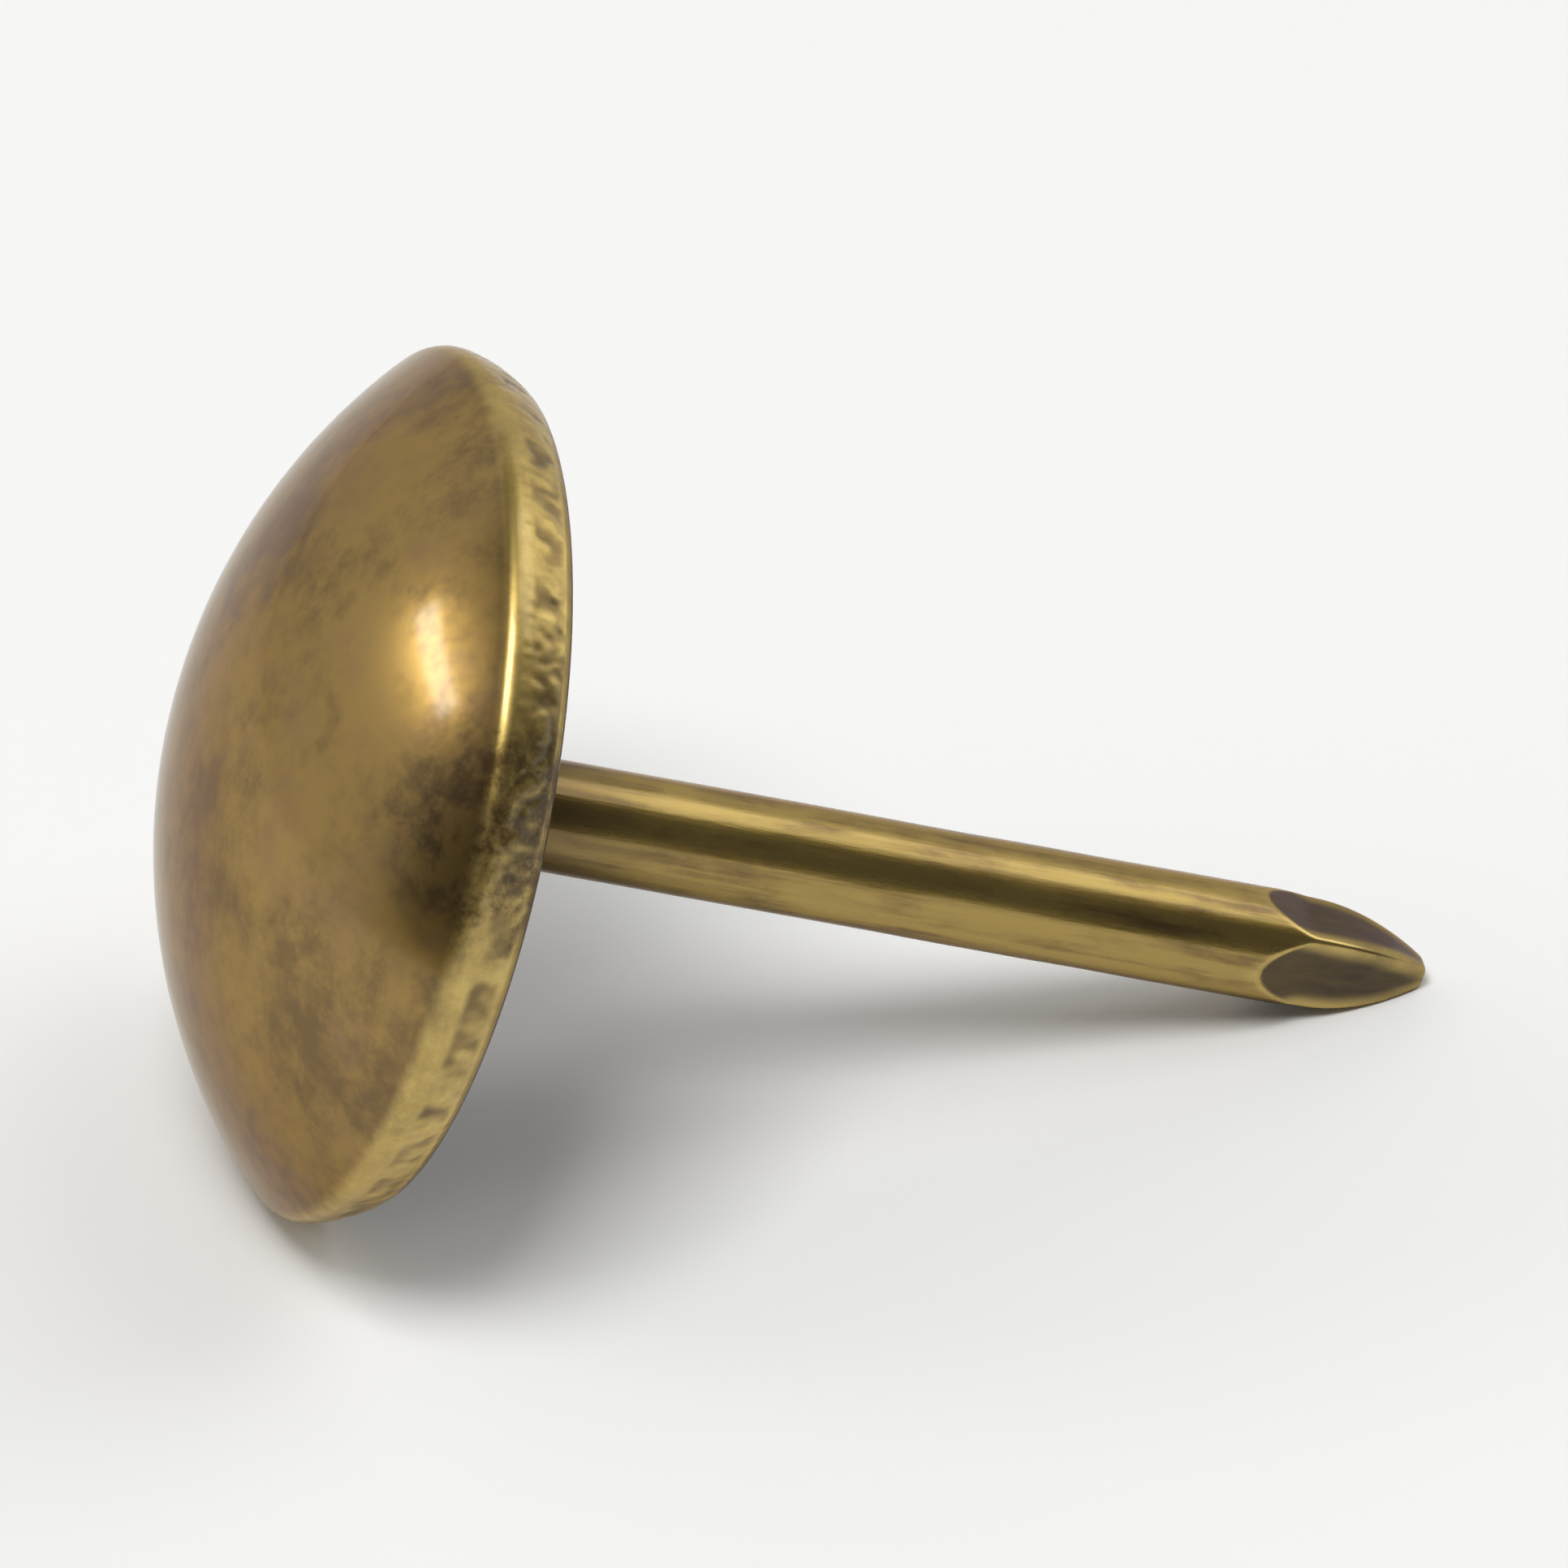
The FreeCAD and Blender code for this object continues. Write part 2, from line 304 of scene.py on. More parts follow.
def section_object(sizes):
    """The half section as a line of points that know their part and how many segments they merge."""
    points, root_up = head_points(sizes)
    points += shank_points(sizes, root_up)
    places = [(point.x, 0, point.y) for point, part in points]
    mesh = bpy.data.meshes.new("section")
    mesh.from_pydata(places, [(i, i + 1) for i in range(len(places) - 1)], [])
    parts = mesh.attributes.new("part", "FLOAT", "POINT")
    parts.data.foreach_set("value", [part for point, part in points])
    steps = mesh.attributes.new("step", "FLOAT", "POINT")
    steps.data.foreach_set("value", [segments_merged(point, part, sizes) for point, part in points])
    section = bpy.data.objects.new("tack_body", mesh)
    bpy.context.scene.collection.objects.link(section)
    return section


def facet_centre(sizes):
    """The centre of the arc that a facet follows after its steep start, out and up from the axis."""
    top = Vector((sizes.neck_width / 2, sizes.point_length - sizes.entry_length - sizes.reach))
    bottom = Vector((sizes.tip_width / 2, -sizes.reach))
    chord = top - bottom
    inward = Vector((-chord.y, chord.x)).normalized()
    return (top + bottom) / 2 + inward * math.sqrt(sizes.facet_radius**2 - (chord.length / 2) ** 2)


def resting_place(sizes):
    """How far the tack leans as it rests on rim and point, and where its widest circle's centre is."""
    tip, reach = sizes.tip_width / 2, sizes.reach
    ring = sizes.head_diameter / 2 - sizes.corner_round
    drop = sizes.band_height - sizes.lower_round

    def level(radius, height, rounding):
        out, down = radius - tip, reach - height
        return math.atan(out / down) + math.asin(rounding / math.hypot(out, down))

    on_corner = level(ring, 0, sizes.corner_round)
    on_lower_round = level(lower_ring(sizes), drop, sizes.lower_round)
    lean = max(on_corner, on_lower_round)
    sphere = dome_radius(sizes)
    tip_x = reach * math.cos(lean) + tip * math.sin(lean)
    crown_x = (sphere - sizes.dome_rise) * math.cos(lean) - sphere
    base = Vector((-(tip_x + crown_x) / 2, 0, reach * math.sin(lean) + tip * math.cos(lean)))
    return lean, base


def tack_inputs(sizes, finishes):
    """The named inputs of the tack's tree: the kind of each socket and its value."""
    lean, base = resting_place(sizes)
    centre = facet_centre(sizes)
    pinch = (sizes.shank_diameter - sizes.neck_width) / 2
    number, whole = "NodeSocketFloat", "NodeSocketInt"
    vector, material = "NodeSocketVector", "NodeSocketMaterial"
    return {
        "Segments": (whole, sizes.segments // MOST_MERGED * MOST_MERGED),
        "Seed": (number, float(sizes.seed)),
        "Wire Radius": (number, sizes.shank_diameter / 2),
        "Facets": (whole, sizes.facets),
        "Facet Radius": (number, sizes.facet_radius),
        "Facet Centre Out": (number, centre.x),
        "Facet Centre Up": (number, centre.y),
        "Point Top": (number, sizes.point_length - sizes.reach),
        "Ridge Round": (number, sizes.ridge_round),
        "Ridge Wear": (number, sizes.ridge_wear),
        "Entry Slope": (number, pinch / sizes.entry_length),
        "Band Height": (number, sizes.band_height),
        "Nick Depth": (number, sizes.nick_depth),
        "Nick Pitch": (number, sizes.nick_pitch),
        "Dent Depth": (number, sizes.dent_depth),
        "Wire Wave": (number, sizes.wire_wave),
        "Lean": (number, lean - math.pi / 2),
        "Base": (vector, base),
        "Head Finish": (material, finishes["head"]),
        "Under Finish": (material, finishes["under"]),
        "Wire Finish": (material, finishes["wire"]),
    }


def turn_section(tree, given):
    """Turn the section about its axis: a row for each point, and fewer columns near the axis."""
    section = given["Section"]
    rows = add(tree, "GeometryNodeAttributeDomainSize", {0: section}, component="MESH")
    columns = add(tree, "ShaderNodeMath", {0: given["Segments"], 1: 1.0}, operation="ADD")
    mesh = add(tree, "GeometryNodeMeshGrid", {"Vertices X": rows, "Vertices Y": columns})
    index = add(tree, "GeometryNodeInputIndex")
    share = add(tree, "ShaderNodeMath", {0: index, 1: columns}, operation="DIVIDE")
    row = add(tree, "ShaderNodeMath", {0: share}, operation="FLOOR")
    before = add(tree, "ShaderNodeMath", {0: row, 1: columns}, operation="MULTIPLY")
    column = add(tree, "ShaderNodeMath", {0: index, 1: before}, operation="SUBTRACT")

    sampled = {}
    for name in ("part", "step"):
        stored = add(tree, "GeometryNodeInputNamedAttribute", {"Name": name}, data_type="FLOAT")
        sampled[name] = add(
            tree, "GeometryNodeSampleIndex", {"Geometry": section, "Value": stored, "Index": row},
            data_type="FLOAT", domain="POINT",
        )
    place = add(
        tree, "GeometryNodeSampleIndex",
        {"Geometry": section, "Value": add(tree, "GeometryNodeInputPosition"), "Index": row},
        data_type="FLOAT_VECTOR", domain="POINT",
    )
    out = add(tree, "ShaderNodeSeparateXYZ", {0: place})
    up = out.node.outputs["Z"]

    snapped = add(tree, "ShaderNodeMath", {0: column, 1: sampled["step"]}, operation="SNAP")
    turns = add(tree, "ShaderNodeMath", {0: snapped, 1: given["Segments"]}, operation="DIVIDE")
    theta = add(tree, "ShaderNodeMath", {0: turns, 1: math.tau}, operation="MULTIPLY")
    outline = point_outline(tree, given, theta, up)
    wire, cut = given["Wire Radius"], outline["radius"]
    squeeze = add(tree, "ShaderNodeMath", {0: cut, 1: wire}, operation="DIVIDE")
    radius = add(tree, "ShaderNodeMath", {0: out, 1: squeeze}, operation="MULTIPLY")
    across = add(tree, "ShaderNodeMath", {0: theta}, operation="COSINE")
    aside = add(tree, "ShaderNodeMath", {0: theta}, operation="SINE")
    x = add(tree, "ShaderNodeMath", {0: radius, 1: across}, operation="MULTIPLY")
    y = add(tree, "ShaderNodeMath", {0: radius, 1: aside}, operation="MULTIPLY")
    position = add(tree, "ShaderNodeCombineXYZ", {"X": x, "Y": y, "Z": up})

    kept = {"part": sampled["part"], "facet": outline["facet"], "ridge": outline["ridge"]}
    for name, value in kept.items():
        mesh = add(
            tree, "GeometryNodeStoreNamedAttribute", {"Geometry": mesh, "Name": name, "Value": value},
            data_type="FLOAT", domain="POINT",
        )
    mesh = add(tree, "GeometryNodeSetPosition", {"Geometry": mesh, "Position": position})
    return add(tree, "GeometryNodeMergeByDistance", {"Geometry": mesh, "Distance": WELD})


def point_outline(tree, given, theta, up):
    """The wire's outline at an angle and height: round, or cut by facets that meet in soft ridges.

    It also tells where a facet is, and where a ridge or the facet's outer edge is rubbed bright.
    """
    wire, soft, wear = given["Wire Radius"], given["Ridge Round"], given["Ridge Wear"]
    slope, bulge = given["Entry Slope"], given["Facet Radius"]
    # The rounds between a facet's steep start and the rest of it, and between facet and wire.
    entry_round, wire_round = 0.05 * MM, 0.04 * MM
    # The next facet's outline is never taken nearer to its own horizon than this cosine.
    least_cosine = 0.05
    # How far below the wire a facet is cut where its dark film begins and is whole, where a ridge comes
    # up from the wire, and how near the wire the facet's rubbed edge ends and is whole.
    film_begins, film_whole = 0.003 * MM, 0.02 * MM
    ridge_begins, ridge_whole = -0.06 * MM, -0.02 * MM
    edge_ends, edge_whole = 0.02 * MM, 0.004 * MM
    # The share of the ridge wear that is wholly bright.
    bright_share = 0.25
    step = add(tree, "ShaderNodeMath", {0: math.tau, 1: given["Facets"]}, operation="DIVIDE")
    half = add(tree, "ShaderNodeMath", {0: step, 1: 0.5}, operation="MULTIPLY")
    minus = add(tree, "ShaderNodeMath", {0: half, 1: -1.0}, operation="MULTIPLY")
    inside = add(tree, "ShaderNodeMath", {0: theta, 1: half, 2: minus}, operation="WRAP")
    near = add(tree, "ShaderNodeMath", {0: inside}, operation="COSINE")
    away = add(tree, "ShaderNodeMath", {0: inside}, operation="ABSOLUTE")
    beyond = add(tree, "ShaderNodeMath", {0: step, 1: away}, operation="SUBTRACT")
    far = add(tree, "ShaderNodeMath", {0: beyond}, operation="COSINE")
    far = add(tree, "ShaderNodeMath", {0: far, 1: least_cosine}, operation="MAXIMUM")

    low = add(tree, "ShaderNodeMath", {0: up, 1: given["Point Top"]}, operation="MINIMUM")
    drop = add(tree, "ShaderNodeMath", {0: low, 1: given["Facet Centre Up"]}, operation="SUBTRACT")
    drop = add(tree, "ShaderNodeMath", {0: drop, 1: drop}, operation="MULTIPLY")
    square = add(tree, "ShaderNodeMath", {0: bulge, 1: bulge}, operation="MULTIPLY")
    run = add(tree, "ShaderNodeMath", {0: square, 1: drop}, operation="SUBTRACT")
    run = add(tree, "ShaderNodeMath", {0: run}, operation="SQRT")
    arc = add(tree, "ShaderNodeMath", {0: run, 1: given["Facet Centre Out"]}, operation="ADD")
    above = add(tree, "ShaderNodeMath", {0: up, 1: given["Point Top"]}, operation="SUBTRACT")
    entry = add(tree, "ShaderNodeMath", {0: above, 1: slope, 2: wire}, operation="MULTIPLY_ADD")
    flat = add(tree, "ShaderNodeMath", {0: entry, 1: arc, 2: entry_round}, operation="SMOOTH_MAX")

    own = add(tree, "ShaderNodeMath", {0: flat, 1: near}, operation="DIVIDE")
    next_one = add(tree, "ShaderNodeMath", {0: flat, 1: far}, operation="DIVIDE")
    cut = add(tree, "ShaderNodeMath", {0: own, 1: next_one, 2: soft}, operation="SMOOTH_MIN")
    radius = add(tree, "ShaderNodeMath", {0: wire, 1: cut, 2: wire_round}, operation="SMOOTH_MIN")

    below_wire = add(tree, "ShaderNodeMath", {0: wire, 1: own}, operation="SUBTRACT")
    facet = add(
        tree, "ShaderNodeMapRange", {0: below_wire, 1: film_begins, 2: film_whole},
        interpolation_type="SMOOTHSTEP",
    )
    corner = add(tree, "ShaderNodeMath", {0: half}, operation="TANGENT")
    leaning = add(tree, "ShaderNodeMath", {0: away}, operation="TANGENT")
    between = add(tree, "ShaderNodeMath", {0: corner, 1: leaning}, operation="SUBTRACT")
    between = add(tree, "ShaderNodeMath", {0: between, 1: flat}, operation="MULTIPLY")
    bright = add(tree, "ShaderNodeMath", {0: wear, 1: bright_share}, operation="MULTIPLY")
    crest = add(
        tree, "ShaderNodeMapRange", {0: between, 1: wear, 2: bright}, interpolation_type="SMOOTHSTEP"
    )
    cut_near = add(
        tree, "ShaderNodeMapRange", {0: below_wire, 1: ridge_begins, 2: ridge_whole},
        interpolation_type="SMOOTHSTEP",
    )
    crest = add(tree, "ShaderNodeMath", {0: crest, 1: cut_near}, operation="MULTIPLY")
    gap = add(tree, "ShaderNodeMath", {0: below_wire}, operation="ABSOLUTE")
    shoulder = add(
        tree, "ShaderNodeMapRange", {0: gap, 1: edge_ends, 2: edge_whole}, interpolation_type="SMOOTHSTEP"
    )
    ridge = add(tree, "ShaderNodeMath", {0: crest, 1: shoulder}, operation="MAXIMUM")
    return {"radius": radius, "facet": facet, "ridge": ridge}


def marks(tree, given):
    """How far dents, nicks, scores and the wire's waves move the surface, and where the nicks are."""
    part = add(tree, "GeometryNodeInputNamedAttribute", {"Name": "part"}, data_type="FLOAT")
    place = add(tree, "GeometryNodeInputPosition")
    up = add(tree, "ShaderNodeSeparateXYZ", {0: place}).node.outputs["Z"]

    def of_part(which):
        return add(tree, "ShaderNodeMath", {0: part, 1: which, 2: 0.1}, operation="COMPARE")

    def ripple(stretched, detail, roughness=0.5):
        spread = add(tree, "ShaderNodeVectorMath", {0: place, 1: stretched}, operation="MULTIPLY")
        return add(
            tree, "ShaderNodeTexNoise",
            {
                "Vector": spread, "W": given["Seed"], "Scale": 1.0, "Detail": detail,
                "Roughness": roughness,
            },
            noise_dimensions="4D",
        )

    def swing(stretched, detail, roughness=0.5):
        rippled = ripple(stretched, detail, roughness)
        return add(tree, "ShaderNodeMath", {0: rippled, 1: -0.5}, operation="ADD")

    per_pitch = add(tree, "ShaderNodeMath", {0: 1.0, 1: given["Nick Pitch"]}, operation="DIVIDE")
    along = add(tree, "ShaderNodeMath", {0: per_pitch, 1: 0.5}, operation="MULTIPLY")
    nick_grid = add(tree, "ShaderNodeCombineXYZ", {"X": per_pitch, "Y": per_pitch, "Z": along})
    nick = add(
        tree, "ShaderNodeMapRange", {0: ripple(nick_grid, 1.0), 1: 0.42, 2: 0.66},
        interpolation_type="SMOOTHSTEP",
    )
    # Nicks keep to the middle of the band, as shares of its height.
    down = add(tree, "ShaderNodeMath", {0: up, 1: given["Band Height"]}, operation="DIVIDE")
    begins = add(
        tree, "ShaderNodeMapRange", {0: down, 1: -0.16, 2: -0.34}, interpolation_type="SMOOTHSTEP"
    )
    ends = add(
        tree, "ShaderNodeMapRange", {0: down, 1: -0.84, 2: -0.7}, interpolation_type="SMOOTHSTEP"
    )
    window = add(tree, "ShaderNodeMath", {0: begins, 1: ends}, operation="MULTIPLY")
    window = add(tree, "ShaderNodeMath", {0: window, 1: of_part(BAND)}, operation="MULTIPLY")
    recess = add(tree, "ShaderNodeMath", {0: nick, 1: window}, operation="MULTIPLY")
    nick_height = add(tree, "ShaderNodeMath", {0: recess, 1: given["Nick Depth"]}, operation="MULTIPLY")

    score_width, score_stretch, score_depth = 0.11 * MM, 9, 0.03 * MM
    fine = 1 / score_width
    score = swing((fine, fine, fine / score_stretch), 1.0)
    score = add(tree, "ShaderNodeMath", {0: score, 1: of_part(BAND)}, operation="MULTIPLY")
    score = add(tree, "ShaderNodeMath", {0: score, 1: score_depth}, operation="MULTIPLY")

    dent_width = 2.6 * MM
    broad = 1 / dent_width
    dent = swing((broad, broad, broad), 2.0, 0.4)
    dent = add(tree, "ShaderNodeMath", {0: dent, 1: given["Dent Depth"]}, operation="MULTIPLY")

    round_wire, along_wire = 1 / (0.7 * MM), 1 / (2.0 * MM)
    wave = swing((round_wire, round_wire, along_wire), 1.0)
    round_mark, along_mark, mark_share = 1 / (0.3 * MM), 1 / (1.3 * MM), 0.25
    mark = swing((round_mark, round_mark, along_mark), 1.0)
    wave = add(tree, "ShaderNodeMath", {0: mark, 1: mark_share, 2: wave}, operation="MULTIPLY_ADD")
    wave = add(tree, "ShaderNodeMath", {0: wave, 1: of_part(WIRE)}, operation="MULTIPLY")
    wave = add(tree, "ShaderNodeMath", {0: wave, 1: given["Wire Wave"]}, operation="MULTIPLY")

    total = add(tree, "ShaderNodeMath", {0: dent, 1: nick_height}, operation="SUBTRACT")
    total = add(tree, "ShaderNodeMath", {0: total, 1: score}, operation="ADD")
    total = add(tree, "ShaderNodeMath", {0: total, 1: wave}, operation="ADD")
    return total, recess


def tack_tree(inputs):
    """The tree that makes the tack out of its section."""
    tree = bpy.data.node_groups.new("Turned Tack", "GeometryNodeTree")
    tree.interface.new_socket("Section", in_out="INPUT", socket_type="NodeSocketGeometry")
    for name, (kind, value) in inputs.items():
        tree.interface.new_socket(name, in_out="INPUT", socket_type=kind)
    tree.interface.new_socket("Tack", in_out="OUTPUT", socket_type="NodeSocketGeometry")
    given = add(tree, "NodeGroupInput").node.outputs

    mesh = turn_section(tree, given)
    height, recess = marks(tree, given)
    mesh = add(
        tree, "GeometryNodeStoreNamedAttribute", {"Geometry": mesh, "Name": "recess", "Value": recess},
        data_type="FLOAT", domain="POINT",
    )
    outward = add(tree, "GeometryNodeInputNormal")
    push = add(tree, "ShaderNodeVectorMath", {0: outward, "Scale": height}, operation="SCALE")
    mesh = add(tree, "GeometryNodeSetPosition", {"Geometry": mesh, "Offset": push})
    turn = add(tree, "ShaderNodeCombineXYZ", {"Y": given["Lean"]})
    turn = add(tree, "FunctionNodeEulerToRotation", {0: turn})
    mesh = add(
        tree, "GeometryNodeTransform",
        {"Geometry": mesh, "Translation": given["Base"], "Rotation": turn},
    )
    mesh = add(tree, "GeometryNodeSetShadeSmooth", {"Geometry": mesh, "Shade Smooth": True})
    mesh = add(tree, "GeometryNodeRealizeInstances", {"Geometry": mesh})
    part = add(tree, "GeometryNodeInputNamedAttribute", {"Name": "part"}, data_type="FLOAT")
    for finish, lowest in (("Head Finish", DOME), ("Under Finish", UNDER), ("Wire Finish", WIRE)):
        chosen = add(tree, "ShaderNodeMath", {0: part, 1: lowest - 0.5}, operation="GREATER_THAN")
        mesh = add(
            tree, "GeometryNodeSetMaterial",
            {"Geometry": mesh, "Selection": chosen, "Material": given[finish]},
        )
    add(tree, "NodeGroupOutput", {0: mesh})
    return tree


def plain_mesh(section, inputs):
    """Run the tree on the section and keep its result as the object's own mesh."""
    tree = tack_tree(inputs)
    modifier = section.modifiers.new("Turned Tack", "NODES")
    modifier.node_group = tree
    taken = [item for item in tree.interface.items_tree if item.in_out == "INPUT"]
    sockets = {item.name: item.identifier for item in taken}
    for name, (kind, value) in inputs.items():
        modifier[sockets[name]] = value
    seen = section.evaluated_get(bpy.context.evaluated_depsgraph_get())
    mesh = bpy.data.meshes.new_from_object(seen)
    section.modifiers.remove(modifier)
    section.data = mesh
    mesh.name = section.name
    return section


def surface_points(tree, sizes):
    """Places on the upright tack, in millimetres from the centre of its widest circle."""
    lean, base = resting_place(sizes)
    points = add(tree, "ShaderNodeTexCoord").node.outputs["Object"]
    turn = (0, lean - math.pi / 2, 0)
    return add(
        tree, "ShaderNodeMapping",
        {"Vector": points, "Location": base, "Rotation": turn, "Scale": (MM, MM, MM)},
        vector_type="TEXTURE",
    )


def noise(tree, points, size, detail=2.0, roughness=0.5, distortion=0.0, squash=(1, 1, 1)):
    """Clouds of a size in millimetres, drawn out along an axis where squash is small."""
    scale = [along / size for along in squash]
    spread = add(tree, "ShaderNodeVectorMath", {0: points, 1: scale}, operation="MULTIPLY")
    return add(
        tree, "ShaderNodeTexNoise",
        {
            "Vector": spread, "Scale": 1.0, "Detail": detail, "Roughness": roughness,
            "Distortion": distortion,
        },
    )


def new_material(name):
    """A new material and its tree, which is still empty."""
    material = bpy.data.materials.new(name)
    material.use_nodes = True
    tree = material.node_tree
    tree.nodes.clear()
    return material, tree


def felt(tree, height, distance, over=None):
    """A normal that feels this height as bump, over another normal if one is given."""
    inputs = {"Strength": 1.0, "Distance": distance, "Height": height}
    if over:
        inputs["Normal"] = over
    return add(tree, "ShaderNodeBump", inputs)


def finish_surface(tree, colour, roughness, normal):
    """A lacquered metal with this colour, roughness and normal."""
    grazing = [*linear("#B8A070"), 1]
    metal = add(
        tree, "ShaderNodeBsdfPrincipled",
        {
            "Base Color": colour, "Metallic": 1.0, "Roughness": roughness, "Normal": normal,
            "Specular Tint": grazing, "Coat Weight": 0.65, "Coat Roughness": 0.09, "Coat IOR": 1.5,
        },
    )
    add(tree, "ShaderNodeOutputMaterial", {"Surface": metal})


def named_value(tree, name):
    """A number that the mesh carries for each of its points."""
    return add(tree, "ShaderNodeAttribute", attribute_name=name).node.outputs["Fac"]


def head_finish(sizes, finish):
    """Antique brass: brass plate, blackened and then tumbled, so that the patina stays in clouds.

    The eye sees golden brown clouds, a faint plum cast, fine scratches, bright corners, dark nicks, and
    one stretch of rim on the camera's side darkened with umber, patina with a painted dark reflection.
    A bump lets the rim band look more upright.
    """
    material, tree = new_material("Antique Brass, Tumbled")
    points = surface_points(tree, sizes)
    cloud = noise(tree, points, 2.2, 3.0, 0.5)
    mottle = noise(tree, points, 0.45, 6.0, 0.7)
    tone = add(tree, "ShaderNodeMix", {"Factor": 0.45, "A": cloud, "B": mottle}, data_type="FLOAT")
    tone = add(tree, "ShaderNodeMapRange", {0: tone, 1: 0.36, 2: 0.58}, interpolation_type="SMOOTHSTEP")
    colour = add(
        tree, "ShaderNodeMix", {"Factor": tone, "A": [*finish.brown, 1], "B": [*finish.golden, 1]},
        data_type="RGBA",
    )
    cast = noise(tree, points, 1.1, 4.0, 0.6)
    cast = add(tree, "ShaderNodeMapRange", {0: cast, 1: 0.5, 2: 0.7, 4: 0.45})
    colour = add(
        tree, "ShaderNodeMix", {"Factor": cast, "A": colour, "B": [*finish.plum, 1]}, data_type="RGBA"
    )

    # Heights in millimetres between which the bright corner and the dark lower edge come in.
    corner_begins, corner_whole = 0.26, 0.1
    edge_begins, edge_whole = -0.63, -0.74
    up = add(tree, "ShaderNodeSeparateXYZ", {0: points}).node.outputs["Z"]
    band = add(
        tree, "ShaderNodeMapRange", {0: up, 1: corner_begins, 2: corner_whole},
        interpolation_type="SMOOTHSTEP",
    )
    rubbed = add(tree, "ShaderNodeMapRange", {0: mottle, 1: 0.35, 2: 0.65, 3: 0.55, 4: 1.0})
    rubbed = add(tree, "ShaderNodeMath", {0: rubbed, 1: band}, operation="MULTIPLY")
    colour = add(
        tree, "ShaderNodeMix", {"Factor": rubbed, "A": colour, "B": [*finish.relieved, 1]},
        data_type="RGBA",
    )
    # Umber on the stretch of rim facing the camera: patina, and a painted dark reflection of the dim
    # room.
    patina_and_reflection = add(tree, "ShaderNodeVectorMath", {0: points, 1: PATINA_AND_REFLECTION_MIDDLE}, operation="DISTANCE")
    patina_and_reflection = add(
        tree, "ShaderNodeMapRange", {0: patina_and_reflection, 1: PATINA_AND_REFLECTION_ENDS, 2: PATINA_AND_REFLECTION_WHOLE},
        interpolation_type="SMOOTHSTEP",
    )
    patchy = add(tree, "ShaderNodeMapRange", {0: mottle, 1: 0.4, 2: 0.56, 3: 0.9, 4: 0.25})
    patina_and_reflection = add(tree, "ShaderNodeMath", {0: patina_and_reflection, 1: patchy}, operation="MULTIPLY")
    colour = add(
        tree, "ShaderNodeMix", {"Factor": patina_and_reflection, "A": colour, "B": [*finish.umber, 1]}, data_type="RGBA"
    )
    recess = named_value(tree, "recess")
    deep = add(tree, "ShaderNodeMapRange", {0: cloud, 1: 0.38, 2: 0.55, 3: 0.85, 4: 0.5})
    deep = add(tree, "ShaderNodeMath", {0: recess, 1: deep}, operation="MULTIPLY")
    colour = add(
        tree, "ShaderNodeMix", {"Factor": deep, "A": colour, "B": [*finish.umber, 1]}, data_type="RGBA"
    )
    edge = add(
        tree, "ShaderNodeMapRange", {0: up, 1: edge_begins, 2: edge_whole, 4: 0.5},
        interpolation_type="SMOOTHSTEP",
    )
    colour = add(
        tree, "ShaderNodeMix", {"Factor": edge, "A": colour, "B": [*finish.black, 1]}, data_type="RGBA"
    )

    dull = add(tree, "ShaderNodeMapRange", {0: mottle, 1: 0.35, 2: 0.65, 3: 0.27, 4: 0.23})
    scuffed = add(tree, "ShaderNodeMath", {0: recess, 1: band}, operation="MAXIMUM")
    dull = add(tree, "ShaderNodeMath", {0: scuffed, 1: 0.15, 2: dull}, operation="MULTIPLY_ADD")
    grain = noise(tree, points, 0.05, 3.0, 0.6)
    scratch = noise(tree, points, 0.03, 1.0, 0.5, squash=(1, 0.04, 0.04))
    height = add(tree, "ShaderNodeMix", {"Factor": 0.4, "A": grain, "B": scratch}, data_type="FLOAT")
    rolled = add(tree, "ShaderNodeMapRange", {0: up, 1: 0.0, 2: -ROLL_DOWN})
    rolled = add(tree, "ShaderNodeMath", {0: rolled, 1: 2.0}, operation="POWER")
    rolled = felt(tree, rolled, ROLL_DEPTH * MM)
    finish_surface(tree, colour, dull, felt(tree, height, 0.0003 * MM, rolled))
    return material


